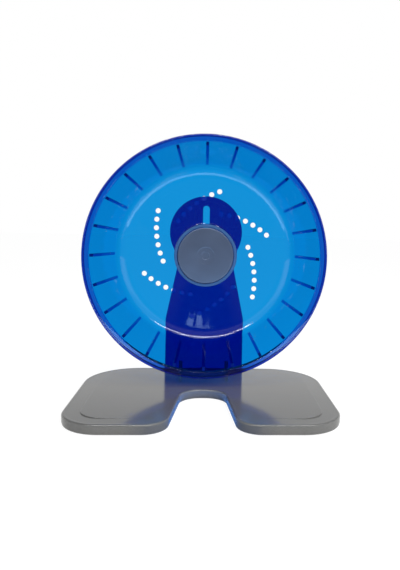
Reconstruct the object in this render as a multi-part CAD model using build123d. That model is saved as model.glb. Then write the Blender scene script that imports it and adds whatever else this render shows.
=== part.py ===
from build123d import *
import os
from math import cos, degrees, radians, sin, tan

# Wheel drum: one moulding of clear plastic, open at the front
wheel_diameter = 280.0
wheel_depth = 64.0
wheel_wall = 2.4
wall_taper = 24.0
lip_width = 7.6
lip_return = 7.5
lip_chamfer = 1.4
drum_corner = 19.2
drum_corner_flats = 3

# Treads moulded inside the drum wall
tread_count = 24
tread_width = 3.0
tread_height = 2.8
tread_setback = 2.0

# Vent holes in six swept arms
vent_arms = 6
vents_per_arm = 7
vent_diameter = 6.2
vent_sides = 10
vent_pitch = 10.6
vent_arm_radius = 105.5
vent_arm_offset = 55.0
vent_first_angle = 13.0
vent_phase = 53.3

# Hub of the drum, with a snap-in cap
boss_diameter = 75.0
boss_bore = 67.4
boss_height = 27.0
boss_root_chamfer = 2.0
hub_webs = 6
hub_web_thickness = 2.0
hub_web_height = 9.0
sleeve_wall = 4.0
sleeve_lip = 2.0
sleeve_lip_bore = 18.0
cap_clearance = 0.3
cap_thickness = 4.3
cap_proud = 2.5
cap_edge_chamfer = 1.2
cap_dimple_diameter = 10.0
cap_dimple_depth = 0.4
cap_legs = 3
cap_leg_width = 9.0
cap_leg_thickness = 1.8
cap_leg_length = 12.0

# Shielded ball bearing, 8 x 22 x 7
bearing_bore = 8.0
bearing_outside = 22.0
bearing_width = 7.0
bearing_inner_land = 12.1
shield_clearance = 0.08
retainer_width = 1.6
retainer_thickness = 1.0
retainer_gap = 6.0
retainer_sides = 16

# Axle and what is on it
axle_clearance = 0.02
land_margin = 0.25
axle_collar_flats = 19.0
axle_collar_thickness = 2.6
axle_front_thread = 2.0
axle_washer_thickness = 1.2
axle_washer_sides = 12
nut_flats = 13.0
nut_height = 6.5
thread_clearance = 0.05
drum_gap = 4.0
clamp_plate_width = 18.0
clamp_plate_length = 30.0
clamp_plate_thickness = 1.6
knob_diameter = 34.0
knob_height = 12.0
knob_lobes = 6
knob_scallop_radius = 7.0
knob_scallop_depth = 3.0
knob_roof = 2.5

# Post: one thick plate of clear plastic
post_depth = 8.0
post_head_diameter = 90.0
post_head_rise = 27.0
post_neck_width = 52.0
post_foot_width = 98.0
post_shoulder_drop = 83.0
post_neck_fillet = 24.0
post_shoulder_fillet = 40.0
post_edge_chamfer = 1.0
post_inset = 12.0
slot_clearance = 0.1
height_travel = 56.0
tongue_margin = 1.0
tongue_clearance = 0.15
tongue_depth = 5.0
post_screw_spacing = 58.0

# Base: a lid over a tray, standing on rubber feet
base_width = 280.0
base_depth = 208.0
base_height = 11.0
base_wall = 2.4
wheel_clearance = 10.0
rear_corner_radius = 62.0
front_corner_radius = 42.0
toe_radius = 26.0
notch_radius = 23.5
notch_mouth = 69.6
notch_width = 47.0
notch_depth = 112.0
lid_skirt = 4.8
lid_edge_chamfer = 1.8
tray_step = 0.5
plateau_inset = 18.0
plateau_height = 1.0
plateau_gap = 2.0
base_rib = 1.6
base_rib_pitch = 76.0
foot_length = 24.0
foot_width = 14.0
foot_corner_chamfer = 4.0
foot_height = 2.2
foot_seat = 1.2
foot_side_inset = 30.0
foot_front_inset = 26.0
foot_rear_inset = 34.0

# Screws, and a plain eight-sided section in place of their threads and of those in nuts
thread_sides = 8
post_screw_diameter = 4.0
post_screw_length = 20.0
post_screw_head_flats = 7.0
post_screw_head_height = 2.2
base_screw_diameter = 3.0
base_screw_length = 7.0
base_screw_head_flats = 5.5
base_screw_head_height = 1.8
base_boss_width = 8.0
base_screw_side_inset = 52.0
base_screw_end_inset = 14.0
screw_play = 0.3

# Places along Y, from the rear of the base forwards; the whole object is centred on Y = 0
overhang = clamp_plate_thickness + knob_height - post_inset
base_rear = (base_depth - overhang) / 2
base_front = base_rear - base_depth
post_rear = base_rear - post_inset
post_front = post_rear - post_depth
post_middle = (post_front + post_rear) / 2
drum_back = post_front - drum_gap
rim_face = drum_back - wheel_depth
disc_face = drum_back - wheel_wall
boss_face = disc_face - boss_height
cap_face = boss_face - cap_proud
bearing_back = drum_back - sleeve_lip
bearing_front = bearing_back - bearing_width
sleeve_front = bearing_front - sleeve_lip
nut_back = bearing_front - axle_washer_thickness
nut_front = nut_back - nut_height
knob_front = post_rear + clamp_plate_thickness
knob_back = knob_front + knob_height

# Heights
wheel_radius = wheel_diameter / 2
axis_height = base_height + wheel_clearance + wheel_radius
tray_bottom = foot_height - foot_seat
lid_bottom = base_height - lid_skirt
tray_floor = tray_bottom + base_wall
tongue_bottom = base_height - tongue_depth
pocket_floor = tongue_bottom - tongue_clearance
pocket_underside = pocket_floor - base_wall
base_screw_top = tray_bottom + base_screw_head_height + base_screw_length
wheel_axis = Axis((0, 0, axis_height), (0, 1, 0))


def turned(*points):
    """Revolves a section given as (radius, Y) points about the wheel's axis."""
    section = Polygon(*points, align=None)
    return revolve(Plane.XY.offset(axis_height) * section, wheel_axis, 360)


def ring(inner_radius, outer_radius, front, back):
    """A plain ring on the wheel's axis."""
    return turned((inner_radius, front), (outer_radius, front), (outer_radius, back), (inner_radius, back))


def about_axis(angle):
    """A turn about the wheel's axis, clockwise as seen from the front."""
    return Pos(0, 0, axis_height) * Rot(0, angle, 0) * Pos(0, 0, -axis_height)


def slab(sketch, front, back):
    """Extrudes a sketch in X and Z between two places on Y."""
    plane = Plane(origin=(0, back, 0), x_dir=(1, 0, 0), z_dir=(0, -1, 0))
    return extrude(plane * sketch, back - front, dir=(0, -1, 0))


def upright(sketch, bottom, top):
    """Extrudes a plan in X and Y between two heights."""
    return extrude(Pos(0, 0, bottom) * sketch, top - bottom, dir=(0, 0, 1))


# The drum's wall is drawn by its middle line, in radius and Y
taper = radians(wall_taper)
half_wall = wheel_wall / 2
disc_middle = drum_back - half_wall
mouth_radius = wheel_radius - lip_width + half_wall / cos(taper)
corner_tangent = drum_corner * tan((radians(90) - taper) / 2)
corner_centre_y = disc_middle - drum_corner


def wall_radius(y):
    """Middle of the tapered wall at a place on Y."""
    return mouth_radius - tan(taper) * (y - rim_face)


def corner_point(angle):
    """A point on the rounded corner between wall and disc, by its angle from the radial direction."""
    centre = wall_radius(disc_middle) - corner_tangent
    return (centre + drum_corner * cos(angle), corner_centre_y + drum_corner * sin(angle))


def drum_shell():
    """Disc, rounded corner, tapered wall and turned-over lip, all of one thickness."""
    lip_middle = rim_face + half_wall
    turn = (radians(90) - taper) / drum_corner_flats
    corner = [corner_point(radians(90) - turn * i) for i in range(drum_corner_flats + 1)]
    path = Polyline(
        (bearing_outside / 2 + sleeve_wall / 2, disc_middle),
        *corner,
        (wall_radius(lip_middle), lip_middle),
        (wheel_radius - half_wall - lip_chamfer, lip_middle),
        (wheel_radius - half_wall, lip_middle + lip_chamfer),
        (wheel_radius - half_wall, rim_face + lip_return),
    )
    section = trace(path, wheel_wall)
    return revolve(Plane.XY.offset(axis_height) * section, wheel_axis, 360)


def treads():
    """Straight ribs on the wall's inside, from just behind the rim to the rounded corner."""
    start = rim_face + tread_setback
    end = corner_point(taper)[1]
    rise = (half_wall + tread_height) / cos(taper)
    section = Polygon(
        (wall_radius(start), start),
        (wall_radius(end), end),
        (wall_radius(end - tread_height) - rise, end - tread_height),
        (wall_radius(start) - rise, start),
        align=None,
    )
    rib = extrude(Plane.XY.offset(axis_height) * section, tread_width / 2, both=True)
    upright_rib = about_axis(-90) * rib
    return [about_axis(360 / tread_count * i) * upright_rib for i in range(tread_count)]


def hub():
    """Boss wall with a chamfered root, bearing sleeve and the webs between them."""
    boss = turned(
        (boss_bore / 2, boss_face),
        (boss_diameter / 2, boss_face),
        (boss_diameter / 2, disc_face - boss_root_chamfer),
        (boss_diameter / 2 + boss_root_chamfer, disc_face),
        (boss_diameter / 2, disc_middle),
        (boss_bore / 2, disc_middle),
    )
    sleeve_radius = bearing_outside / 2 + sleeve_wall
    sleeve = ring(sleeve_lip_bore / 2, sleeve_radius, sleeve_front, drum_back)
    inner = sleeve_radius - sleeve_wall / 2
    outer = (boss_bore / 2 + boss_diameter / 2) / 2
    web_plan = Pos(0, axis_height + (inner + outer) / 2) * Rectangle(hub_web_thickness, outer - inner)
    web = slab(web_plan, disc_face - hub_web_height, disc_middle)
    webs = [about_axis(360 / hub_webs * (i + 0.5)) * web for i in range(hub_webs)]
    return [boss, sleeve, *webs]


def vents():
    """Holes along arcs that sweep outwards, the same in each arm."""
    step = degrees(vent_pitch / vent_arm_radius)
    holes = []
    for arm in range(vent_arms):
        heading = vent_phase + 360 / vent_arms * arm
        away = radians(heading)
        for i in range(vents_per_arm):
            along = radians(heading + vent_first_angle + step * i)
            x = vent_arm_radius * sin(along) - vent_arm_offset * sin(away)
            z = vent_arm_radius * cos(along) - vent_arm_offset * cos(away)
            holes.append(Pos(x, axis_height + z) * RegularPolygon(vent_diameter / 2, vent_sides))
    return slab(Sketch() + holes, disc_face - wheel_wall, drum_back + wheel_wall)


def wheel_drum():
    """The whole wheel moulding, with a seat for the bearing in its sleeve."""
    drum = drum_shell() + [*hub(), *treads()]
    drum -= vents()
    drum -= ring(0, sleeve_lip_bore / 2, sleeve_front, drum_back)
    return drum - ring(0, bearing_outside / 2, sleeve_front, bearing_back)


def hub_cap():
    """Disc that closes the boss, with a dimple at its centre and legs that snap into the bore."""
    edge = boss_bore / 2 - cap_clearance
    back = cap_face + cap_thickness
    cap = turned(
        (0, cap_face + cap_dimple_depth),
        (cap_dimple_diameter / 2, cap_face + cap_dimple_depth),
        (cap_dimple_diameter / 2, cap_face),
        (edge - cap_edge_chamfer, cap_face),
        (edge, cap_face + cap_edge_chamfer),
        (edge, back),
        (0, back),
    )
    leg_middle = (edge - cap_clearance) * cos(cap_leg_width / 2 / edge) - cap_leg_thickness / 2
    leg_plan = Pos(0, axis_height + leg_middle) * Rectangle(cap_leg_width, cap_leg_thickness)
    leg = slab(leg_plan, back, boss_face + cap_leg_length)
    return cap + [about_axis(360 / cap_legs * i) * leg for i in range(cap_legs)]


def bearing_outer_ring():
    """Outer ring with its two shields, which hide the balls."""
    return ring(bearing_inner_land / 2 + shield_clearance, bearing_outside / 2, bearing_front, bearing_back)


def bearing_inner_ring():
    """Inner ring, clamped on the axle."""
    return ring(bearing_bore / 2, bearing_inner_land / 2, bearing_front, bearing_back)


def bearing_retainer():
    """Open spring ring that keeps the bearing in the drum's sleeve."""
    outside = bearing_outside / 2
    plan = RegularPolygon(outside, retainer_sides) - RegularPolygon(outside - retainer_width, retainer_sides)
    plan -= Pos(0, -outside) * Rectangle(retainer_gap, 2 * outside)
    return slab(Pos(0, axis_height) * plan, bearing_front - retainer_thickness, bearing_front)


def axle():
    """Steel stud: a shoulder for the bearing, a hexagon collar for the post and a thread at each end."""
    radius = bearing_bore / 2 - axle_clearance
    shoulder = bearing_inner_land / 2 - land_margin
    front, back = nut_front - axle_front_thread, knob_back - knob_roof
    stud = turned(
        (0, front),
        (radius, front),
        (radius, bearing_back),
        (shoulder, bearing_back),
        (shoulder, post_front),
        (radius, post_front),
        (radius, back),
        (0, back),
    )
    collar = Pos(0, axis_height) * RegularPolygon(axle_collar_flats / 2, 6, major_radius=False)
    return stud + slab(collar, post_front - axle_collar_thickness, post_front)


def axle_washer():
    """Small twelve-sided washer that presses on the inner ring alone."""
    plan = RegularPolygon(bearing_inner_land / 2 - land_margin, axle_washer_sides)
    plan -= Circle(bearing_bore / 2 + thread_clearance)
    return slab(Pos(0, axis_height) * plan, nut_back, bearing_front)


def shank_plan(diameter):
    """Section of a thread, or of the hole for it."""
    return RegularPolygon(diameter / 2, thread_sides, major_radius=False)


def hexagon_nut(front, back):
    """Hexagon nut on the axle's thread."""
    plan = RegularPolygon(nut_flats / 2, 6, major_radius=False) - shank_plan(bearing_bore + 2 * thread_clearance)
    return slab(Pos(0, axis_height) * plan, front, back)


def clamp_plate():
    """Oblong washer that spans the slot at the back of the post."""
    plan = Rectangle(clamp_plate_width, clamp_plate_length) - Circle(bearing_bore / 2 + thread_clearance)
    return slab(Pos(0, axis_height) * plan, post_rear, knob_front)


def clamp_knob():
    """Lobed hand knob with a pocket for its brass nut and a blind bore for the axle's end."""
    grip = Circle(knob_diameter / 2)
    reach = knob_diameter / 2 + knob_scallop_radius - knob_scallop_depth
    grip -= PolarLocations(reach, knob_lobes) * Circle(knob_scallop_radius)
    body = slab(Pos(0, axis_height) * grip, knob_front, knob_back)
    pocket = RegularPolygon(nut_flats / 2, 6, major_radius=False)
    body -= slab(Pos(0, axis_height) * pocket, knob_front, knob_front + nut_height)
    bore = Pos(0, axis_height) * shank_plan(bearing_bore + 2 * thread_clearance)
    return body - slab(bore, knob_front, knob_back - knob_roof + thread_clearance)


def post_outline():
    """A round head over a neck that flares out into a straight-sided foot."""
    head_height = axis_height + post_head_rise
    shoulder = axis_height - post_shoulder_drop
    foot, neck = post_foot_width / 2, post_neck_width / 2
    stem = Polygon(
        (-foot, base_height),
        (foot, base_height),
        (foot, shoulder),
        (neck, head_height),
        (-neck, head_height),
        (-foot, shoulder),
        align=None,
    )
    outline = stem + Pos(0, head_height) * Circle(post_head_diameter / 2)
    neck_corners = outline.vertices().filter_by(lambda v: shoulder + 1 < v.Y < head_height)
    outline = fillet(neck_corners, post_neck_fillet)
    shoulders = outline.vertices().filter_by(lambda v: abs(v.Y - shoulder) < 0.01)
    return fillet(shoulders, post_shoulder_fillet)


def slot_plan():
    """Slot in which the axle is set higher or lower."""
    middle = axis_height + height_travel / 2
    return Pos(0, middle) * SlotCenterToCenter(height_travel, bearing_bore + 2 * slot_clearance, rotation=90)


def post_screw_places():
    """Plan of the screws that go up into the post's foot."""
    return [(-post_screw_spacing / 2, post_middle), (post_screw_spacing / 2, post_middle)]


def tongue_plan(margin):
    """Foot of the post that drops into the base, or its pocket when a margin is given."""
    width = post_foot_width - 2 * tongue_margin + 2 * margin
    depth = post_depth - 2 * tongue_margin + 2 * margin
    return Pos(0, post_middle) * Rectangle(width, depth)


def post():
    """The upright: a plate with bevelled edges, a slot for the axle and a tongue for the base."""
    outline = post_outline()
    body = slab(outline, post_front, post_rear)
    rims = body.edges().filter_by(lambda e: e.center().Z > base_height + 1)
    body = chamfer(rims - rims.filter_by(Axis.Y), post_edge_chamfer)
    body += upright(tongue_plan(0), tongue_bottom, base_height)
    for x, y in post_screw_places():
        hole = upright(shank_plan(post_screw_diameter), tongue_bottom, pocket_underside + post_screw_length)
        body -= Pos(x, y) * hole
    return body - slab(slot_plan(), post_front, post_rear)


def base_outline(inset=0.0):
    """Plan of the base: two broad feet joined behind a deep rounded notch."""
    side, mouth, end = base_width / 2, notch_mouth / 2, notch_width / 2
    notch_end = base_front + notch_depth
    right = [(side, base_rear), (side, base_front), (mouth, base_front), (end, notch_end)]
    left = [(-x, y) for x, y in reversed(right)]
    radii = [rear_corner_radius, front_corner_radius, toe_radius, notch_radius]
    plan = make_face(FilletPolyline(*right, *left, close=True, radius=[*radii, *reversed(radii)]))
    return offset(plan, -inset) if inset else plan


def base_screw_places():
    """Plan of the screws that hold the lid to the tray."""
    side = base_width / 2 - base_screw_side_inset
    rear = base_rear - base_screw_end_inset
    front = base_front + base_screw_end_inset
    return [(-side, front), (side, front), (-side, rear), (side, rear)]


def foot_places():
    """Plan of the rubber feet, by name."""
    x = base_width / 2 - foot_side_inset
    front, rear = base_front + foot_front_inset, base_rear - foot_rear_inset
    return {
        "foot_front_left": (-x, front),
        "foot_front_right": (x, front),
        "foot_rear_left": (-x, rear),
        "foot_rear_right": (x, rear),
    }


def base_ribs():
    """Stiffening ribs along the feet and across the bridge."""
    middle = (base_front + base_rear) / 2
    lengthwise = [Pos(x, middle) * Rectangle(base_rib, base_depth) for x in (-base_rib_pitch, base_rib_pitch)]
    return [*lengthwise, Pos(0, middle + base_rib_pitch / 2) * Rectangle(base_width, base_rib)]


def plateaus():
    """Low raised fields on the feet that sink into the lid towards the middle."""
    field = upright(base_outline(plateau_inset), base_height - plateau_height, base_height + plateau_height)
    edge = base_width / 2
    start = post_foot_width / 2 + plateau_gap
    slope = plateau_height / (edge - plateau_inset - start)
    wedge = Polygon(
        (start, base_height - plateau_height),
        (edge, base_height - plateau_height),
        (edge, base_height + slope * (edge - start)),
        (start, base_height),
        align=None,
    )
    right = slab(wedge, base_front, base_rear)
    return [field & right, field & mirror(right, Plane.YZ)]


def base_lid():
    """Top of the base, with a short skirt, a pocket for the post and screw bosses."""
    lid = upright(base_outline(), lid_bottom, base_height)
    lid = chamfer(lid.faces().sort_by(Axis.Z)[-1].edges(), lid_edge_chamfer) + plateaus()
    inside = base_outline(base_wall)
    ceiling = base_height - base_wall
    lid -= upright(inside - base_ribs(), lid_bottom, ceiling)
    lid += upright(tongue_plan(tongue_clearance + base_wall), pocket_underside, ceiling)
    lid -= upright(tongue_plan(tongue_clearance), pocket_floor, base_height)
    for x, y in base_screw_places():
        lid += Pos(x, y) * upright(Rectangle(base_boss_width, base_boss_width), lid_bottom, ceiling)
        lid -= Pos(x, y) * upright(shank_plan(base_screw_diameter), lid_bottom, base_screw_top)
    for x, y in post_screw_places():
        hole = upright(shank_plan(post_screw_diameter + 2 * screw_play), pocket_underside, pocket_floor)
        lid -= Pos(x, y) * hole
    return lid


def base_tray():
    """Bottom of the base, set in a little from the lid, with seats for the feet and screws."""
    tray = upright(base_outline(tray_step), tray_bottom, lid_bottom)
    hollow = base_outline(tray_step + base_wall) - base_ribs()
    hollow += tongue_plan(tongue_clearance + 2 * base_wall)
    tray -= upright(hollow, tray_floor, lid_bottom)
    for x, y in base_screw_places():
        tray += Pos(x, y) * upright(Rectangle(base_boss_width, base_boss_width), tray_bottom, lid_bottom)
        tray -= base_screw(x, y, screw_play)
    for x, y in foot_places().values():
        tray -= Pos(x, y) * upright(foot_plan(), tray_bottom, foot_height)
    for x, y in post_screw_places():
        access = upright(shank_plan(post_screw_head_flats + 6 * screw_play), tray_bottom, tray_floor)
        tray -= Pos(x, y) * access
    return tray


def headed_screw(x, y, under_head, diameter, length, head_flats, head_height):
    """Hexagon-headed screw that points up from the underside of its head."""
    head = upright(RegularPolygon(head_flats / 2, 6, major_radius=False), under_head - head_height, under_head)
    return Pos(x, y) * (head + upright(shank_plan(diameter), under_head, under_head + length))


def base_screw(x, y, play=0.0):
    """Screw from the tray up into the lid, or the hole for it when play is given."""
    return headed_screw(
        x,
        y,
        tray_bottom + base_screw_head_height,
        base_screw_diameter + 2 * play,
        base_screw_length,
        base_screw_head_flats + 2 * play,
        base_screw_head_height,
    )


def base_screws():
    return Part() + [base_screw(x, y) for x, y in base_screw_places()]


def post_screws():
    """Screws up through the lid's pocket into the post."""
    return Part() + [
        headed_screw(
            x,
            y,
            pocket_underside,
            post_screw_diameter,
            post_screw_length,
            post_screw_head_flats,
            post_screw_head_height,
        )
        for x, y in post_screw_places()
    ]


def foot_plan():
    plan = Rectangle(foot_width, foot_length)
    return chamfer(plan.vertices(), foot_corner_chamfer)


nodes = {
    "wheel_drum": wheel_drum(),
    "hub_cap": hub_cap(),
    "bearing_outer_ring": bearing_outer_ring(),
    "bearing_inner_ring": bearing_inner_ring(),
    "bearing_retainer": bearing_retainer(),
    "axle": axle(),
    "axle_washer": axle_washer(),
    "axle_nut": hexagon_nut(nut_front, nut_back),
    "clamp_plate": clamp_plate(),
    "clamp_knob": clamp_knob(),
    "knob_nut": hexagon_nut(knob_front, knob_front + nut_height),
    "post": post(),
    "post_screws": post_screws(),
    "base_lid": base_lid(),
    "base_tray": base_tray(),
    "base_screws": base_screws(),
}
for name, (x, y) in foot_places().items():
    nodes[name] = Pos(x, y) * upright(foot_plan(), 0, foot_height)

os.makedirs("parts", exist_ok=True)
for name, shape in nodes.items():
    export_step(shape, f"parts/{name}.step")
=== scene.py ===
from math import acos, atan2, ceil, cos, hypot, pi, radians, sin, tan
import bpy
from mathutils import Euler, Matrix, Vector


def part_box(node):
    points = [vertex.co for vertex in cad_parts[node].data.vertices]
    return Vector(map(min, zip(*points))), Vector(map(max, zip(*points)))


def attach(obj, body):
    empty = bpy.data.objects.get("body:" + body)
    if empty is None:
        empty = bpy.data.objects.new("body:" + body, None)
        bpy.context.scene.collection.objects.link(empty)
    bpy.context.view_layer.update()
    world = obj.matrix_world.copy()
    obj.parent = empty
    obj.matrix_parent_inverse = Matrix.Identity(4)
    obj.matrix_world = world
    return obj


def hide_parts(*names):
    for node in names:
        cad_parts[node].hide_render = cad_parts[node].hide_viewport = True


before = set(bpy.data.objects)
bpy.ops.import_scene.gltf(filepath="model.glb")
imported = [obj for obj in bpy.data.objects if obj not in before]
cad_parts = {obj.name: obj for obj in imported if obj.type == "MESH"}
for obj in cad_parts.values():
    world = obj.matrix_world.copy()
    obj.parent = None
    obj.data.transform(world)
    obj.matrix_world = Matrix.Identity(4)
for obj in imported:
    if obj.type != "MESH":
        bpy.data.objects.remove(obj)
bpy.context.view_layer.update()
mm = 0.001

# Camera
# It stands about two thirds of a metre in front of the open side, a little above the axle, and looks
# almost level. The picture is 400 x 570 pixels, and a small shift frames the object as a print does.
picture_height = 570
focal_pixels = 574.1
shift_pixels = (39.1, -37.9)
sensor_width = 36
camera_place = (0.4 * mm, -637 * mm, 205.1 * mm)
camera_yaw, camera_pitch, camera_roll = radians(-3.29), radians(2.76), radians(1.26)
bpy.ops.object.select_all(action="DESELECT")
bpy.ops.object.camera_add(location=camera_place)
camera = bpy.context.object
camera.name = "camera"
turn = Euler((pi / 2 - camera_pitch, 0, camera_yaw))
turn.rotate_axis("Z", camera_roll)
camera.rotation_euler = turn
camera.data.sensor_width = sensor_width
camera.data.lens = focal_pixels * sensor_width / picture_height
camera.data.shift_x = -shift_pixels[0] / picture_height
camera.data.shift_y = shift_pixels[1] / picture_height
camera.data.clip_start = 10 * mm
bpy.context.scene.camera = camera
bpy.context.scene.view_settings.view_transform = "Standard"


# Studio floor, lamps and surroundings
# A white sheet on the floor runs off into white surroundings. Gloss mirrors a dimmer room instead, so
# that it doesn't veil the plastic's colour. Soft lamps hang above, in front and at the right.
class Wire:
    """One output of a shader's nodes. Arithmetic on it adds Math nodes."""

    def __init__(self, tree, socket=None):
        self.tree = tree
        self.socket = socket

    def node(self, kind, settings=None, output=0, **sockets):
        """Adds a node: its settings, then its sockets' values or wires, each by name or as i and a number."""
        node = self.tree.nodes.new(kind)
        for key, value in (settings or {}).items():
            setattr(node, key, value)
        for key, value in sockets.items():
            name = int(key[1:]) if key[1:].isdigit() else key.replace("_", " ")
            if isinstance(value, Wire):
                self.tree.links.new(value.socket, node.inputs[name])
            else:
                node.inputs[name].default_value = value
        return Wire(self.tree, node.outputs[output] if node.outputs else None)

    def maths(self, operation, *values):
        sockets = {f"i{i}": value for i, value in enumerate(values)}
        return self.node("ShaderNodeMath", {"operation": operation}, **sockets)

    def __add__(self, other):
        return self.maths("ADD", self, other)

    __radd__ = __add__

    def __sub__(self, other):
        return self.maths("SUBTRACT", self, other)

    def __rsub__(self, other):
        return self.maths("SUBTRACT", other, self)

    def __mul__(self, other):
        return self.maths("MULTIPLY", self, other)

    __rmul__ = __mul__


def new_material(name):
    """An empty material and the wire that its nodes start from."""
    material = bpy.data.materials.new(name)
    material.use_nodes = True
    material.node_tree.nodes.clear()
    return material, Wire(material.node_tree)


def kind_of_ray(start):
    """Wires that are 1 for rays that see a surface directly or through plastic, and for mirrored ones."""
    path = "ShaderNodeLightPath"
    camera_ray = start.node(path, output="Is Camera Ray")
    through_ray = start.node(path, output="Is Transmission Ray")
    glossy_ray = start.node(path, output="Is Glossy Ray")
    return start.maths("MINIMUM", camera_ray + through_ray, 1.0), glossy_ray * (1.0 - through_ray)


def ramp(wire, first, last, low=0.0, high=1.0):
    """A wire that goes from low to high while another goes from first to last."""
    return wire.node("ShaderNodeMapRange", i0=wire, i1=first, i2=last, i3=low, i4=high)


def blend(share, first, last):
    """A colour that goes from the first to the last while a wire goes from 0 to 1."""
    colours = {"i6": (*first, 1), "i7": (*last, 1)}
    return share.node("ShaderNodeMix", {"data_type": "RGBA"}, output=2, i0=share, **colours)


floor_size = 12.0
floor_white = (0.86, 0.86, 0.86)
floor_glow, floor_glow_share = 1.1, 0.85
dark_edge, lit_edge = -300 * mm, -200 * mm
dark_glow, lit_glow = 0.12, 0.9
notch_fade, notch_side = 75 * mm, 45 * mm
white, painted_blue_light = (1, 1, 1), (0.05, 0.18, 0.55)
bpy.ops.object.select_all(action="DESELECT")
bpy.ops.mesh.primitive_plane_add(size=floor_size)
floor = bpy.context.object
floor.name = "floor"
paper, start = new_material("white_sheet")
direct, mirrored = kind_of_ray(start)
place = start.node("ShaderNodeTexCoord", output="Object")
ahead = start.node("ShaderNodeSeparateXYZ", output="Y", Vector=place)
aside = start.maths("ABSOLUTE", start.node("ShaderNodeSeparateXYZ", output="X", Vector=place))
# In mirrors the floor glows bright near the object and dim further ahead: a painted pool of light.
lit_part = ramp(ahead, dark_edge, lit_edge, dark_glow, lit_glow)
# In mirrors a stripe of floor along the middle, under the notch, glows blue: painted blue light, as if cast
# down through the plastic.
blue_light_part = ramp(aside, notch_fade, notch_side)
glow_colour = blend(blue_light_part * mirrored, white, painted_blue_light)
glow_strength = direct * floor_glow + mirrored * lit_part
diffuse = start.node("ShaderNodeBsdfDiffuse", Color=(*floor_white, 1))
glow = start.node("ShaderNodeEmission", Color=glow_colour, Strength=glow_strength)
glow_share = direct * floor_glow_share + mirrored
mixed = start.node("ShaderNodeMixShader", i0=glow_share, i1=diffuse, i2=glow)
start.node("ShaderNodeOutputMaterial", Surface=mixed)
floor.data.materials.append(paper)

soft_light = 0.42
room_edge, room_heart = -0.75, -0.93
level_edge, level_heart = 0.34, 0.2
overhead_edge, overhead_heart = 0.24, 0.42
room_dimming, overhead_dimming = 0.93, 0.6
world = bpy.data.worlds.new("surroundings")
world.use_nodes = True
world.node_tree.nodes.clear()
start = Wire(world.node_tree)
direct, mirrored = kind_of_ray(start)
direction = start.node("ShaderNodeTexCoord", output="Generated")
along = start.node("ShaderNodeSeparateXYZ", output="Y", Vector=direction)
upwards = start.node("ShaderNodeSeparateXYZ", output="Z", Vector=direction)
room_side = ramp(along, room_edge, room_heart)
near_level = ramp(start.maths("ABSOLUTE", upwards), level_edge, level_heart)
overhead = ramp(upwards, overhead_edge, overhead_heart)
room = (1.0 - room_side * near_level * room_dimming) * (1.0 - overhead * overhead_dimming)
lighting = start.node("ShaderNodeBackground", Color=(*white, 1), Strength=soft_light)
seen = start.node("ShaderNodeBackground", Color=(*white, 1), Strength=direct + mirrored * room)
mixed = start.node("ShaderNodeMixShader", i0=direct + mirrored, i1=lighting, i2=seen)
start.node("ShaderNodeOutputWorld", Surface=mixed)
bpy.context.scene.world = world


def soft_lamp(name, place, target, size, power, colour=white, lights=("diffuse", "glossy")):
    """A soft rectangular lamp that faces a point and lights the chosen kinds of surface."""
    bpy.ops.object.select_all(action="DESELECT")
    bpy.ops.object.light_add(type="AREA", location=place)
    lamp = bpy.context.object
    lamp.name = name
    lamp.rotation_euler = (Vector(target) - Vector(place)).to_track_quat("-Z", "Y").to_euler()
    lamp.data.shape = "RECTANGLE"
    lamp.data.size, lamp.data.size_y = size
    lamp.data.energy = power
    lamp.data.color = colour
    lamp.visible_camera = lamp.visible_transmission = False
    lamp.visible_diffuse = "diffuse" in lights
    lamp.visible_glossy = "glossy" in lights


pale_blue, plastic_blue = (0.5, 0.8, 1), (0.08, 0.3, 1)
soft_lamp("lamp_over_front", (0.2, -0.6, 1.35), (0, 0, 0.1), (2.4, 0.6), 7)
soft_lamp("lamp_front_right", (0.6, -1.2, 0.8), (0, 0, 0.12), (0.5, 0.5), 12.5, lights=("diffuse",))
soft_lamp("lamp_right", (0.7, -0.1, 0.45), (0, 0, 0.05), (0.3, 0.3), 1.9, lights=("diffuse",))
# Two strips draw the highlights on the drum's rounded corner and along the base's front edge.
soft_lamp("lamp_low_strip", (0, -0.31, 0.004), (0, -0.31, 1), (0.72, 0.22), 1.7, pale_blue, ("glossy",))
soft_lamp("lamp_edge_light", (0, -0.75, 1.3), (0, -0.1, 0), (1.8, 0.12), 12, lights=("glossy",))
# Light that comes down through the plastic colours the paper in the base's notch blue.
patch_place, patch_size = (0, -0.045, 0.002), (0.075, 0.075)
soft_lamp("lamp_blue_patch", patch_place, (0, -0.045, 1), patch_size, 0.1, plastic_blue, ("diffuse",))


# Wheel drum
# One moulding of clear blue plastic, open at the front: flat disc, rounded corner, tapered wall with a
# turned-over lip, 24 treads, vents in six swept arms, and a boss and bearing sleeve at the hub.
drum_low, drum_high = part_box("wheel_drum")
bearing_low, bearing_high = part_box("bearing_outer_ring")
cap_low, cap_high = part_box("hub_cap")
axis = (bearing_low + bearing_high) / 2
bearing_radius = bearing_high.z - axis.z
drum_radius = 140 * mm
drum_wall = 2.4 * mm
drum_taper = radians(24)
drum_corner = 19.2 * mm
lip_width, lip_return, lip_thick = 7.6 * mm, 7.5 * mm, 4.8 * mm
boss_radius, boss_bore, boss_root = 37.5 * mm, 33.7 * mm, 2 * mm
sleeve_radius, sleeve_bore, sleeve_lip = 15 * mm, 9 * mm, 2 * mm
cap_overhang = 2.5 * mm
rim_face, drum_back = drum_low.y, drum_high.y
disc_face = drum_back - drum_wall
boss_face = cap_low.y + cap_overhang
sleeve_front = bearing_low.y - sleeve_lip
lip_round, wall_round, edge_round = 2 * mm, 1 * mm, 0.6 * mm
bore_round, seat_round = 0.4 * mm, 0.3 * mm
drum_steps = 240
same_place = 0.001 * mm
crease = radians(32)


def swung(spoke, angle):
    """A flat vector turned anticlockwise."""
    return Vector((
        spoke.x * cos(angle) - spoke.y * sin(angle),
        spoke.x * sin(angle) + spoke.y * cos(angle),
    ))


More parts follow.
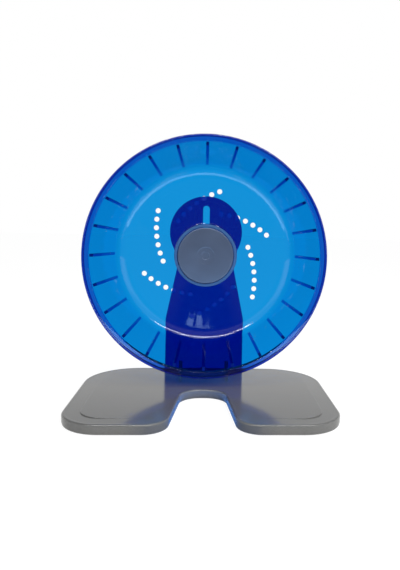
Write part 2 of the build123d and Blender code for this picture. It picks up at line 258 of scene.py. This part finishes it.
def rounded(corners, arc_step=radians(7)):
    """Points along a closed outline of (x, y, radius) corners, with an arc at each rounded one."""
    points = []
    for i, (x, y, radius) in enumerate(corners):
        corner = Vector((x, y))
        if radius == 0:
            points.append(corner)
            continue
        before = (Vector(corners[i - 1][:2]) - corner).normalized()
        after = (Vector(corners[(i + 1) % len(corners)][:2]) - corner).normalized()
        opening = acos(max(-1, min(1, before.dot(after))))
        reach = radius / tan(opening / 2)
        centre = corner + (before + after).normalized() * radius / sin(opening / 2)
        first = corner + before * reach - centre
        swing = first.angle_signed(corner + after * reach - centre)
        steps = max(1, ceil(abs(swing) / arc_step))
        points += [centre + swung(first, -swing * step / steps) for step in range(steps + 1)]
    return points


def draw_outline(name, points):
    """A new object in edit mode: one vertex is put at the first point and extruded along the rest."""
    bpy.ops.object.select_all(action="DESELECT")
    bpy.ops.mesh.primitive_plane_add(size=1 * mm, enter_editmode=True)
    piece = bpy.context.object
    piece.name = piece.data.name = name
    bpy.ops.mesh.select_mode(type="VERT")
    bpy.ops.mesh.merge(type="CENTER")
    bpy.ops.transform.translate(value=points[0])
    for here, there in zip(points, [*points[1:], points[0]]):
        step = Vector(there) - Vector(here)
        bpy.ops.mesh.extrude_region_move(TRANSFORM_OT_translate={"value": step})
    bpy.ops.mesh.select_all(action="SELECT")
    bpy.ops.mesh.remove_doubles(threshold=same_place)
    return piece


def turned(name, corners, steps):
    """A solid of revolution about the wheel's axis, from (radius, y, rounding) corners."""
    piece = draw_outline(name, [(0, y, axis.z + radius) for radius, y in rounded(corners)])
    bpy.ops.mesh.spin(steps=steps, angle=2 * pi, center=(0, 0, axis.z), axis=(0, 1, 0))
    bpy.ops.mesh.select_all(action="SELECT")
    bpy.ops.mesh.remove_doubles(threshold=same_place)
    bpy.ops.mesh.normals_make_consistent(inside=False)
    bpy.ops.object.mode_set(mode="OBJECT")
    return piece


def plate(name, points, push):
    """A plate, still in edit mode: a flat outline that is filled and extruded."""
    piece = draw_outline(name, points)
    bpy.ops.mesh.edge_face_add()
    bpy.ops.mesh.extrude_region_move(TRANSFORM_OT_translate={"value": push})
    bpy.ops.mesh.select_all(action="SELECT")
    bpy.ops.mesh.normals_make_consistent(inside=False)
    return piece


def choose(piece):
    """Makes one piece the only selected and the active one."""
    bpy.ops.object.select_all(action="DESELECT")
    piece.select_set(True)
    bpy.context.view_layer.objects.active = piece


def copies_about_axis(piece, count, first_angle=0.0):
    """Joins evenly spaced copies of a piece, turned about the wheel's axis, into one object."""
    copies = []
    for i in range(count):
        choose(piece)
        bpy.ops.object.duplicate()
        bpy.ops.object.mode_set(mode="EDIT")
        bpy.ops.mesh.select_all(action="SELECT")
        angle = first_angle + 2 * pi / count * i
        bpy.ops.transform.rotate(value=angle, orient_axis="Y", center_override=(0, 0, axis.z))
        bpy.ops.object.mode_set(mode="OBJECT")
        copies.append(bpy.context.object)
    bpy.data.objects.remove(piece)
    for copy in copies:
        copy.select_set(True)
    bpy.context.view_layer.objects.active = copies[0]
    bpy.ops.object.join()
    return bpy.context.object


def apply_boolean(piece, tool, operation):
    """Joins a tool to a piece, or cuts it out, and throws the tool away."""
    choose(piece)
    boolean = piece.modifiers.new("boolean", "BOOLEAN")
    boolean.object = tool
    boolean.operation = operation
    boolean.solver = "EXACT"
    bpy.ops.object.modifier_apply(modifier=boolean.name)
    bpy.data.objects.remove(tool)


def choose_faces(piece, wanted):
    """Selects, in edit mode, the faces whose centre and normal pass a test."""
    bpy.ops.mesh.select_mode(type="FACE")
    bpy.ops.mesh.select_all(action="DESELECT")
    bpy.ops.object.mode_set(mode="OBJECT")
    for face in piece.data.polygons:
        face.select = wanted(face.center, face.normal)
    bpy.ops.object.mode_set(mode="EDIT")


def dress(piece, *materials):
    """Shades a piece smooth between its creases and gives it its materials."""
    choose(piece)
    bpy.ops.object.shade_smooth_by_angle(angle=crease)
    piece.data.materials.clear()
    for material in materials:
        piece.data.materials.append(material)


def wall_radius(y, side):
    """Radius of the tapered wall's outer side (side 1), middle (0) or inner side (-1)."""
    mouth = drum_radius - lip_width + drum_wall / 2 / cos(drum_taper)
    return mouth - tan(drum_taper) * (y - rim_face) + side * drum_wall / 2 / cos(drum_taper)


drum = turned(
    "running_drum",
    [
        (sleeve_bore, drum_back, bore_round),
        (wall_radius(drum_back, 1), drum_back, drum_corner + drum_wall / 2),
        (wall_radius(rim_face + lip_thick, 1), rim_face + lip_thick, wall_round),
        (drum_radius - drum_wall, rim_face + lip_thick, wall_round),
        (drum_radius - drum_wall, rim_face + lip_return, wall_round),
        (drum_radius, rim_face + lip_return, wall_round),
        (drum_radius, rim_face, lip_round),
        (wall_radius(rim_face, -1), rim_face, wall_round),
        (wall_radius(disc_face, -1), disc_face, drum_corner - drum_wall / 2),
        (boss_radius, disc_face, boss_root),
        (boss_radius, boss_face, edge_round),
        (boss_bore, boss_face, edge_round),
        (boss_bore, disc_face, edge_round),
        (sleeve_radius, disc_face, edge_round),
        (sleeve_radius, sleeve_front, edge_round),
        (bearing_radius, sleeve_front, seat_round),
        (bearing_radius, bearing_high.y, 0),
        (sleeve_bore, bearing_high.y, 0),
    ],
    drum_steps,
)

tread_width, tread_height, tread_round, tread_count = 3.4 * mm, 2.8 * mm, 0.2 * mm, 24
tread_set_back, tread_stops_short = 2 * mm, 15.6 * mm
tread_front, tread_back = rim_face + tread_set_back, drum_back - tread_stops_short
tread_rise = tread_height / cos(drum_taper)
tread_side = (
    (wall_radius(tread_front, 0), tread_front),
    (wall_radius(tread_back, 0), tread_back),
    (wall_radius(tread_back - tread_height, -1) - tread_rise, tread_back - tread_height),
    (wall_radius(tread_front + tread_height, -1) - tread_rise, tread_front + tread_height),
)
tread_points = [(-tread_width / 2, y, axis.z + radius) for radius, y in tread_side]
tread = plate("tread", tread_points, (tread_width, 0, 0))
bpy.ops.mesh.bevel(offset=tread_round, segments=2, affect="EDGES")
bpy.ops.object.mode_set(mode="OBJECT")
apply_boolean(drum, copies_about_axis(tread, tread_count), "UNION")

web_thick, web_high, web_overlap, web_count = 2 * mm, 9 * mm, 1 * mm, 6
web_inside, web_outside = sleeve_radius - web_overlap, boss_bore + web_overlap
bpy.ops.object.select_all(action="DESELECT")
bpy.ops.mesh.primitive_cube_add(
    size=1,
    scale=(web_thick, web_high + drum_wall / 2, web_outside - web_inside),
    location=(0, disc_face + (drum_wall / 2 - web_high) / 2, axis.z + (web_inside + web_outside) / 2),
)
web = bpy.context.object
bpy.ops.object.transform_apply(location=True, rotation=True, scale=True)
apply_boolean(drum, copies_about_axis(web, web_count, pi / web_count), "UNION")

vent_arms, vents_per_arm, vent_radius, vent_sides = 6, 7, 3.1 * mm, 32
vent_pitch, vent_arm_radius, vent_arm_offset = 10.6 * mm, 105.5 * mm, 55 * mm
vent_first_angle, vent_phase = radians(13), radians(53.3)
vent_edge = 0.3 * mm
flare_size = (vent_radius + vent_edge) / vent_radius
# Slightly past the disc's face, so that no edge of the punch lies on it.
flare_depth = 1.01 * vent_edge
end_on = 0.9
bpy.ops.object.select_all(action="DESELECT")
bpy.ops.mesh.primitive_cylinder_add(
    vertices=vent_sides,
    radius=vent_radius,
    depth=drum_wall - 2 * vent_edge,
    rotation=(pi / 2, 0, 0),
    location=(0, (disc_face + drum_back) / 2, axis.z),
)
vent = bpy.context.object
vent.name = "vent"
bpy.ops.object.transform_apply(location=True, rotation=True, scale=True)
bpy.ops.object.mode_set(mode="EDIT")
for side, surface in ((-1, disc_face), (1, drum_back)):
    choose_faces(vent, lambda centre, normal: side * normal.y > end_on)
    bpy.ops.mesh.extrude_region_move(TRANSFORM_OT_translate={"value": (0, side * flare_depth, 0)})
    bpy.ops.transform.resize(value=(flare_size, 1, flare_size), center_override=(0, surface, axis.z))
    bpy.ops.mesh.extrude_region_move(TRANSFORM_OT_translate={"value": (0, side * drum_wall, 0)})
bpy.ops.object.mode_set(mode="OBJECT")
punches = []
for arm in range(vent_arms):
    heading = vent_phase + 2 * pi / vent_arms * arm
    for i in range(vents_per_arm):
        along = heading + vent_first_angle + vent_pitch / vent_arm_radius * i
        sideways = vent_arm_radius * sin(along) - vent_arm_offset * sin(heading)
        upwards = vent_arm_radius * cos(along) - vent_arm_offset * cos(heading)
        choose(vent)
        bpy.ops.object.duplicate_move(TRANSFORM_OT_translate={"value": (sideways, 0, upwards)})
        punches.append(bpy.context.object)
bpy.data.objects.remove(vent)
for piece in punches:
    piece.select_set(True)
bpy.ops.object.join()
vents = bpy.context.object
bpy.ops.object.transform_apply(location=True, rotation=True, scale=True)
apply_boolean(drum, vents, "DIFFERENCE")


def clear_plastic(name, wave):
    """Clear blue plastic: its colour deepens with thickness, and its surface is faintly wavy."""
    material, start = new_material(name)
    place = start.node("ShaderNodeTexCoord", output="Object")
    waves = start.node("ShaderNodeTexNoise", Vector=place, Scale=14.0, Detail=2.0)
    smears = start.node("ShaderNodeTexNoise", Vector=place, Scale=60.0, Detail=4.0)
    smear_roughness = 0.06
    bump = start.node("ShaderNodeBump", Strength=wave, Distance=1 * mm, Height=waves)
    surface = start.node(
        "ShaderNodeBsdfPrincipled",
        Base_Color=(0.93, 0.97, 1, 1),
        Roughness=smears * smear_roughness,
        IOR=1.49,
        Transmission_Weight=1.0,
        Normal=bump,
    )
    shadow_ray = start.node("ShaderNodeLightPath", output="Is Shadow Ray")
    passing = start.node("ShaderNodeBsdfTransparent", Color=(0.93, 0.95, 0.97, 1))
    mixed = start.node("ShaderNodeMixShader", i0=shadow_ray, i1=surface, i2=passing)
    volume = start.node("ShaderNodeVolumeAbsorption", Color=(0, 0.78, 0.939, 1), Density=2200.0)
    start.node("ShaderNodeOutputMaterial", Surface=mixed, Volume=volume)
    return material


def satin_plastic(name, colour, grain, shine, metal=0.0, refraction=1.5):
    """Opaque moulded plastic: faintly cloudy colour, fine grain and an even sheen."""
    material, start = new_material(name)
    place = start.node("ShaderNodeTexCoord", output="Object")
    clouds = start.node("ShaderNodeTexNoise", Vector=place, Scale=45.0, Detail=3.0)
    darker, lighter, unevenness = 0.9, 1.1, 0.12
    dark = [darker * value for value in colour]
    light = [lighter * value for value in colour]
    fine = start.node("ShaderNodeTexNoise", Vector=place, Scale=2600.0, Detail=2.0)
    bump = start.node("ShaderNodeBump", Strength=grain, Distance=0.05 * mm, Height=fine)
    surface = start.node(
        "ShaderNodeBsdfPrincipled",
        Base_Color=blend(clouds, dark, light),
        Metallic=metal,
        Roughness=clouds * unevenness + shine,
        IOR=refraction,
        Normal=bump,
    )
    start.node("ShaderNodeOutputMaterial", Surface=surface)
    return material


rim_depth, margin, end_slope = 0.7 * mm, 0.1 * mm, -0.4
dress(
    drum,
    clear_plastic("clear_blue_plastic", 0.25),
    # The boss's clear front rim gets an opaque mid blue: painted reflection and shade in place of light on
    # the clear edge.
    satin_plastic("rim_painted_light_and_shade", (0.022, 0.09, 0.25), 0.6, 0.4),
    # The treads' front ends get an opaque near-black blue: painted shade of clear plastic seen end-on.
    satin_plastic("tread_end_painted_shade", (0.001, 0.01, 0.13), 0.6, 0.5, refraction=1.05),
)
for face in drum.data.polygons:
    y = face.center.y
    reach = hypot(face.center.x, face.center.z - axis.z)
    on_rim = boss_bore - margin < reach < boss_radius + margin and y < boss_face + rim_depth
    on_slope = tread_front - margin < y < tread_front + tread_height + margin
    on_tread_end = on_slope and face.normal.y < end_slope and reach < wall_radius(y, -1) - margin
    face.material_index = 1 if on_rim else 2 if on_tread_end else 0
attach(drum, "wheel")
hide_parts("wheel_drum")

# Hub cap
# A flat disc of grey plastic with a satin face and a small round dimple at its middle. It snaps into
# the boss on three legs and hides the bearing and the axle's nut.
cap_radius, cap_thick, cap_steps = 33.4 * mm, 4.3 * mm, 120
cap_round, cap_edge, dimple_edge = 1.2 * mm, 0.3 * mm, 0.2 * mm
dimple_radius, dimple_ring, dimple_slope = 5 * mm, 10.4 * mm, 0.4 * mm
dimple_depth, ring_depth = 0.4 * mm, 0.1 * mm
cap_face = cap_low.y
cap = turned(
    "snap_in_cap",
    [
        (0, cap_face + dimple_depth, 0),
        (dimple_radius - dimple_slope, cap_face + dimple_depth, cap_edge),
        (dimple_radius, cap_face + ring_depth, dimple_edge),
        (dimple_ring - dimple_slope, cap_face + ring_depth, dimple_edge),
        (dimple_ring, cap_face, dimple_edge),
        (cap_radius, cap_face, cap_round),
        (cap_radius, cap_face + cap_thick, cap_edge),
        (0, cap_face + cap_thick, 0),
    ],
    cap_steps,
)
leg_wide, leg_thick, leg_round, leg_count = 9 * mm, 1.8 * mm, 0.4 * mm, 3
leg_overlap, leg_inset = 0.5 * mm, 0.6 * mm
leg_front, leg_back = cap_face + cap_thick - leg_overlap, cap_high.y
leg_height = axis.z + cap_radius - leg_inset - leg_thick
bpy.ops.object.select_all(action="DESELECT")
bpy.ops.mesh.primitive_cube_add(
    size=1,
    enter_editmode=True,
    location=(0, 0, 0),
    scale=(leg_wide, leg_back - leg_front, leg_thick),
)
leg = bpy.context.object
leg.name = "leg"
bpy.ops.transform.translate(value=(0, (leg_front + leg_back) / 2, leg_height))
bpy.ops.mesh.bevel(offset=leg_round, segments=2, affect="EDGES")
bpy.ops.object.mode_set(mode="OBJECT")
bpy.ops.object.transform_apply(location=True, rotation=True, scale=True)
apply_boolean(cap, copies_about_axis(leg, leg_count), "UNION")
dress(cap, satin_plastic("grey_cap_plastic", (0.118, 0.154, 0.238), 0.25, 0.27, 0.6))
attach(cap, "wheel")
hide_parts("hub_cap")


# Bearing, axle and the parts on it
# Turned and hardened steel parts, bright or zinc plated: ball bearing with shields, spring ring, stud
# with a hexagon collar, washer and nut. The nut that is pressed into the hand knob is brass.
def turned_metal(name, colour, roughness, metal=1.0):
    """Metal with fine turning marks round the wheel's axis."""
    material, start = new_material(name)
    place = start.node("ShaderNodeTexCoord", output="Object")
    centred = start.node("ShaderNodeMapping", Vector=place, Location=(0, 0, -axis.z))
    rings = {"wave_type": "RINGS", "rings_direction": "Y"}
    marks = start.node("ShaderNodeTexWave", rings, Vector=centred, Scale=900.0, Distortion=3.0, Detail=2.0)
    clouds = start.node("ShaderNodeTexNoise", Vector=place, Scale=160.0, Detail=3.0)
    darker, unevenness = 0.82, 0.15
    bump = start.node("ShaderNodeBump", Strength=0.15, Distance=0.03 * mm, Height=marks)
    surface = start.node(
        "ShaderNodeBsdfPrincipled",
        Base_Color=blend(clouds, [darker * value for value in colour], colour),
        Metallic=metal,
        Roughness=clouds * unevenness + roughness,
        Normal=bump,
    )
    start.node("ShaderNodeOutputMaterial", Surface=surface)
    return material


bright_steel = turned_metal("bright_steel", (0.62, 0.62, 0.61), 0.18)
spring_steel = turned_metal("dark_spring_steel", (0.2, 0.2, 0.21), 0.3)
zinc_plate = turned_metal("zinc_plate", (0.6, 0.61, 0.63), 0.25)
dull_zinc = turned_metal("dull_zinc", (0.66, 0.67, 0.68), 0.45, 0.45)
brass = turned_metal("brass", (0.75, 0.55, 0.25), 0.25)
metals = {
    "bearing_outer_ring": bright_steel,
    "bearing_inner_ring": bright_steel,
    "bearing_retainer": spring_steel,
    "axle": zinc_plate,
    "axle_washer": zinc_plate,
    "axle_nut": zinc_plate,
    "post_screws": dull_zinc,
    "base_screws": dull_zinc,
    "knob_nut": brass,
}
for name, metal in metals.items():
    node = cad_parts[name]
    node.data.materials.clear()
    node.data.materials.append(metal)


# Post
# One thick plate of the same clear plastic, whose depth makes it look dark. A round head with the slot
# for the axle flares down to a wide foot, and a tongue under the foot drops into the base.
post_low, post_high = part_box("post")
post_front, post_rear = post_low.y, post_high.y
head_radius, head_height = 45 * mm, axis.z + 27 * mm
neck_half, foot_half = 26 * mm, 49 * mm
shoulder_height, shoulder_round, neck_round = axis.z - 83 * mm, 40 * mm, 24 * mm
tongue_long, tongue_inset, tongue_overlap = 5 * mm, 1 * mm, 0.5 * mm
lid_top = post_low.z + tongue_long
rim_round = 1 * mm
slot_half, slot_travel = 4.1 * mm, 56 * mm
# Just under half the slot's width, so that the two arcs of an end don't share a point.
slot_round = 0.999 * slot_half
past = 1 * mm

flare = (Vector((neck_half, head_height)) - Vector((foot_half, shoulder_height))).normalized()
outward = Vector((flare.y, -flare.x))
head_centre = Vector((0, head_height))
beside = Vector((foot_half, shoulder_height)) + outward * neck_round
drop = (head_centre - beside).dot(flare)
gap = (head_centre - beside).dot(outward)
fillet_centre = beside + flare * (drop - ((head_radius + neck_round) ** 2 - gap**2) ** 0.5)
on_neck = fillet_centre - outward * neck_round
on_head = head_centre + (fillet_centre - head_centre) * head_radius / (head_radius + neck_round)
spoke = on_neck - fillet_centre
fillet_swing = spoke.angle_signed(on_head - fillet_centre)
fillet_steps, head_steps = 12, 64
foot_corners = [
    (0, lid_top, 0),
    (foot_half, lid_top, 0),
    (foot_half, shoulder_height, shoulder_round),
    (*on_neck, 0),
]
right_side = rounded(foot_corners)[1:]
for step in range(1, fillet_steps):
    right_side.append(fillet_centre + swung(spoke, -fillet_swing * step / fillet_steps))
lowest = atan2(on_head.y - head_height, on_head.x)
head = []
for step in range(head_steps + 1):
    angle = lowest + (pi - 2 * lowest) * step / head_steps
    head.append(head_centre + head_radius * Vector((cos(angle), sin(angle))))
left_side = [Vector((-point.x, point.y)) for point in reversed(right_side)]


def choose_edges(piece, wanted):
    """Selects, in edit mode, the edges whose two ends pass a test."""
    bpy.ops.mesh.select_mode(type="EDGE")
    bpy.ops.mesh.select_all(action="DESELECT")
    bpy.ops.object.mode_set(mode="OBJECT")
    for edge in piece.data.edges:
        edge.select = wanted(*[piece.data.vertices[i].co for i in edge.vertices])
    bpy.ops.object.mode_set(mode="EDIT")


def upright_plate(name, outline, front, rear):
    """A plate on its edge, still in edit mode: an outline in X and Z, from front to rear."""
    return plate(name, [(x, front, z) for x, z in outline], (0, rear - front, 0))


def rectangle(left, right, low, high, corner=0):
    """Corners of a rectangle, all with the same rounding."""
    return [(right, low, corner), (right, high, corner), (left, high, corner), (left, low, corner)]


def above_lid(a, b):
    """True for an edge of the post's two faces that isn't on the lid."""
    on_face = abs(a.y - b.y) < same_place
    near = 10 * same_place
    return on_face and min(a.z, b.z) > lid_top - near and max(a.z, b.z) > lid_top + near


post = upright_plate("clear_post", [*right_side, *head, *left_side], post_front, post_rear)
choose_edges(post, above_lid)
bpy.ops.mesh.bevel(offset=rim_round, segments=3, affect="EDGES")
bpy.ops.object.mode_set(mode="OBJECT")
tongue_half = foot_half - tongue_inset
tongue_outline = rounded(rectangle(-tongue_half, tongue_half, post_low.z, lid_top + tongue_overlap))
tongue = upright_plate("tongue", tongue_outline, post_front + tongue_inset, post_rear - tongue_inset)
bpy.ops.object.mode_set(mode="OBJECT")
apply_boolean(post, tongue, "UNION")
slot_low, slot_high = axis.z - slot_half, axis.z + slot_travel + slot_half
slot_outline = rounded(rectangle(-slot_half, slot_half, slot_low, slot_high, slot_round), radians(12))
slot = upright_plate("slot", slot_outline, post_front - past, post_rear + past)
bpy.ops.object.mode_set(mode="OBJECT")
apply_boolean(post, slot, "DIFFERENCE")
dress(post, clear_plastic("deep_blue_plastic", 0.2))
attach(post, "stand")
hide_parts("post")

# Clamp plate and hand knob
# Behind the post a zinc-plated steel plate spans the slot, and a black lobed knob, moulded round its
# brass nut, draws it tight. Slackened, it lets the axle be set higher or lower.
plate_low, plate_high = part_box("clamp_plate")
plate_half, plate_corner, plate_round, plate_hole = plate_high.x, 2.5 * mm, 0.3 * mm, 4.05 * mm
hole_sides = 32
plate_corners = rectangle(-plate_half, plate_half, plate_low.z, plate_high.z, plate_corner)
clamp = upright_plate("clamp_washer_plate", rounded(plate_corners, radians(15)), plate_low.y, plate_high.y)
choose_edges(clamp, lambda a, b: abs(a.y - b.y) < same_place)
bpy.ops.mesh.bevel(offset=plate_round, segments=2, affect="EDGES")
bpy.ops.object.mode_set(mode="OBJECT")


def cut_on_axis(piece, sides, radius, front, rear):
    """Cuts a round or many-sided hole on the wheel's axis."""
    bpy.ops.object.select_all(action="DESELECT")
    middle = (0, (front + rear) / 2, axis.z)
    bpy.ops.mesh.primitive_cylinder_add(
        vertices=sides, radius=radius, depth=rear - front, rotation=(pi / 2, 0, 0), location=middle
    )
    bpy.ops.object.transform_apply(location=True, rotation=True, scale=True)
    apply_boolean(piece, bpy.context.object, "DIFFERENCE")


cut_on_axis(clamp, hole_sides, plate_hole, plate_low.y - past, plate_high.y + past)
dress(clamp, zinc_plate)
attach(clamp, "carrier")
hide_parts("clamp_plate")

knob_low, knob_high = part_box("clamp_knob")
knob_front, knob_back = knob_low.y, knob_high.y
knob_lobes, knob_middle_radius, knob_wave, knob_steps = 6, 15.3 * mm, 1.6 * mm, 96
knob_back_round, knob_front_round = 2.4 * mm, 0.6 * mm
nut_sides, nut_radius, nut_deep = 6, 7.6 * mm, 6.5 * mm
thread_radius, thread_floor = 4.1 * mm, 2.4 * mm
dish_sides, dish_radius, dish_deep = 48, 8 * mm, 0.6 * mm
knob_outline = []
for step in range(knob_steps):
    angle = 2 * pi * step / knob_steps
    reach = knob_middle_radius + knob_wave * cos(knob_lobes * angle)
    knob_outline.append((reach * cos(angle), axis.z + reach * sin(angle)))
knob = upright_plate("lobed_knob", knob_outline, knob_front, knob_back)
choose_edges(knob, lambda a, b: min(a.y, b.y) > knob_back - same_place)
bpy.ops.mesh.bevel(offset=knob_back_round, segments=5, affect="EDGES")
choose_edges(knob, lambda a, b: max(a.y, b.y) < knob_front + same_place)
bpy.ops.mesh.bevel(offset=knob_front_round, segments=2, affect="EDGES")
bpy.ops.object.mode_set(mode="OBJECT")
cut_on_axis(knob, nut_sides, nut_radius, knob_front - past, knob_front + nut_deep)
cut_on_axis(knob, hole_sides, thread_radius, knob_front - past, knob_back - thread_floor)
cut_on_axis(knob, dish_sides, dish_radius, knob_back - dish_deep, knob_back + past)
dress(knob, satin_plastic("black_knob_plastic", (0.012, 0.012, 0.013), 0.5, 0.35))
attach(knob, "knob")
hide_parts("clamp_knob")


# Base lid and tray
# Two mouldings of silver-painted plastic, screwed together from below: a low lid with a rounded edge
# and soft raised fields on its two feet, over a tray that is set in a little all round.
lid_low, lid_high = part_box("base_lid")
tray_low, tray_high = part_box("base_tray")
base_front, base_rear, base_side = lid_low.y, lid_high.y, lid_high.x
rear_corner, front_corner, toe, notch_round = 62 * mm, 42 * mm, 26 * mm, 23.5 * mm
notch_mouth_half, notch_end_half, notch_end = 34.8 * mm, 23.5 * mm, base_front + 112 * mm
lid_round, under_round = 1.8 * mm, 0.4 * mm
rim_wide, rim_slope, rim_step = 1.6 * mm, 0.8 * mm, 0.15 * mm
field_inset, field_start, field_strips = 18 * mm, 51 * mm, 12
field_power, field_round, field_root, field_edge = 1.6, 0.5 * mm, 1 * mm, 1 * mm
# A field starts this far above the lid's dished face, so that the two don't share a plane.
skin = 0.01 * mm
least_toe, level = 1 * mm, 0.99
pocket_clearance, pocket_depth = 0.15 * mm, 5.15 * mm
tray_inset, tray_round = 0.5 * mm, 1 * mm


def base_outline(inset):
    """Plan of the base, or of a field set in from its edge: two broad feet beside a rounded notch."""
    lean = atan2(notch_mouth_half - notch_end_half, notch_end - base_front)
    widening = (1 - sin(lean)) / cos(lean)
    right = [
        (base_side - inset, base_rear - inset, rear_corner - inset),
        (base_side - inset, base_front + inset, front_corner - inset),
        (notch_mouth_half + inset * widening, base_front + inset, max(toe - inset, least_toe)),
        (notch_end_half + inset / widening, notch_end + inset, notch_round + inset),
    ]
    left = [(-x, y, radius) for x, y, radius in reversed(right)]
    return rounded([*right, *left], radians(6))


def flat_plate(name, outline, bottom, top):
    """A plate lying down, still in edit mode: an outline in X and Y, from bottom to top."""
    return plate(name, [(x, y, bottom) for x, y in outline], (0, 0, top - bottom))


def weigh_normals(piece):
    """Lets broad faces set the shading at their edges, so that they look flat beside small bevels."""
    choose(piece)
    weighted = piece.modifiers.new("weighted_normals", "WEIGHTED_NORMAL")
    weighted.keep_sharp = True
    bpy.ops.object.modifier_apply(modifier=weighted.name)


lid = flat_plate("painted_lid", base_outline(0), lid_low.z, lid_top)
choose_edges(lid, lambda a, b: min(a.z, b.z) > lid_top - same_place)
bpy.ops.mesh.bevel(offset=lid_round, segments=5, affect="EDGES")
choose_faces(lid, lambda centre, normal: normal.z > level and centre.z > lid_top - same_place)
bpy.ops.mesh.inset(thickness=rim_wide)
bpy.ops.mesh.inset(thickness=rim_slope, depth=-rim_step)
choose_edges(lid, lambda a, b: max(a.z, b.z) < lid_low.z + same_place)
bpy.ops.mesh.bevel(offset=under_round, segments=2, affect="EDGES")
bpy.ops.object.mode_set(mode="OBJECT")

field_top = lid_high.z
field_low = lid_top - rim_step
field_wide = base_side - field_inset - field_start
field_side = base_side - field_inset - field_edge


def on_field_rim(a, b):
    """True for an edge of a field's top, except for the lines across it."""
    return min(a.z, b.z) > field_low and (abs(a.x - b.x) > same_place or abs(a.x) > field_side)


for side in (-1, 1):
    field = flat_plate("field", base_outline(field_inset), lid_top - field_root, field_top)
    inner = (side * field_start, 0, 0)
    bpy.ops.mesh.select_all(action="SELECT")
    bpy.ops.mesh.bisect(plane_co=inner, plane_no=(side, 0, 0), clear_inner=True, use_fill=True)
    for i in range(1, field_strips):
        bpy.ops.mesh.select_all(action="SELECT")
        across = side * (field_start + field_wide * i / field_strips)
        bpy.ops.mesh.bisect(plane_co=(across, 0, 0), plane_no=(1, 0, 0))
    bpy.ops.object.mode_set(mode="OBJECT")
    for vertex in field.data.vertices:
        if vertex.co.z > lid_top:
            share = max(0, abs(vertex.co.x) - field_start) / field_wide
            vertex.co.z = field_low + skin + (field_top - field_low) * share**field_power
    bpy.ops.object.mode_set(mode="EDIT")
    choose_edges(field, on_field_rim)
    bpy.ops.mesh.bevel(offset=field_round, segments=3, affect="EDGES")
    bpy.ops.object.mode_set(mode="OBJECT")
    apply_boolean(lid, field, "UNION")

pocket_half, pocket_wall = foot_half - tongue_inset + pocket_clearance, tongue_inset - pocket_clearance
pocket_outline = rounded(rectangle(-pocket_half, pocket_half, lid_top - pocket_depth, lid_top + past))
pocket = upright_plate("pocket", pocket_outline, post_front + pocket_wall, post_rear - pocket_wall)
bpy.ops.object.mode_set(mode="OBJECT")
apply_boolean(lid, pocket, "DIFFERENCE")

tray = flat_plate("painted_tray", base_outline(tray_inset), tray_low.z, tray_high.z)
choose_edges(tray, lambda a, b: max(a.z, b.z) < tray_low.z + same_place)
bpy.ops.mesh.bevel(offset=tray_round, segments=3, affect="EDGES")
bpy.ops.object.mode_set(mode="OBJECT")

# Silver paint over moulded plastic: fine metal flakes under a smooth clear surface.
paint_dark, paint_light = (0.1, 0.1, 0.098), (0.22, 0.22, 0.215)
paint_roughness, paint_unevenness = 0.1, 0.06
silver, start = new_material("silver_paint")
place = start.node("ShaderNodeTexCoord", output="Object")
clouds = start.node("ShaderNodeTexNoise", Vector=place, Scale=12.0, Detail=3.0)
flakes = start.node("ShaderNodeTexNoise", Vector=place, Scale=2200.0, Detail=2.0)
bump = start.node("ShaderNodeBump", Strength=0.08, Distance=0.05 * mm, Height=flakes)
surface = start.node(
    "ShaderNodeBsdfPrincipled",
    Base_Color=blend(flakes, paint_dark, paint_light),
    Metallic=0.3,
    Roughness=clouds * paint_unevenness + paint_roughness,
    Normal=bump,
)
start.node("ShaderNodeOutputMaterial", Surface=surface)
for piece, node in ((lid, "base_lid"), (tray, "base_tray")):
    dress(piece, silver)
    weigh_normals(piece)
    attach(piece, "stand")
    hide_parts(node)

# Rubber feet
# Four dark grey rubber pads, glued into shallow seats under the tray, keep the base from sliding.
pad_corner, pad_round = 4 * mm, 0.5 * mm
rubber = satin_plastic("rubber_pads", (0.02, 0.02, 0.02), 1.0, 0.65)
for name in ("foot_front_left", "foot_front_right", "foot_rear_left", "foot_rear_right"):
    foot_low, foot_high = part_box(name)
    foot_corners = rectangle(foot_low.x, foot_high.x, foot_low.y, foot_high.y, pad_corner)
    foot = flat_plate("pad_" + name, rounded(foot_corners, radians(15)), foot_low.z, foot_high.z)
    choose_edges(foot, lambda a, b: max(a.z, b.z) < foot_low.z + same_place)
    bpy.ops.mesh.bevel(offset=pad_round, segments=2, affect="EDGES")
    bpy.ops.object.mode_set(mode="OBJECT")
    dress(foot, rubber)
    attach(foot, "stand")
    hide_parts(name)
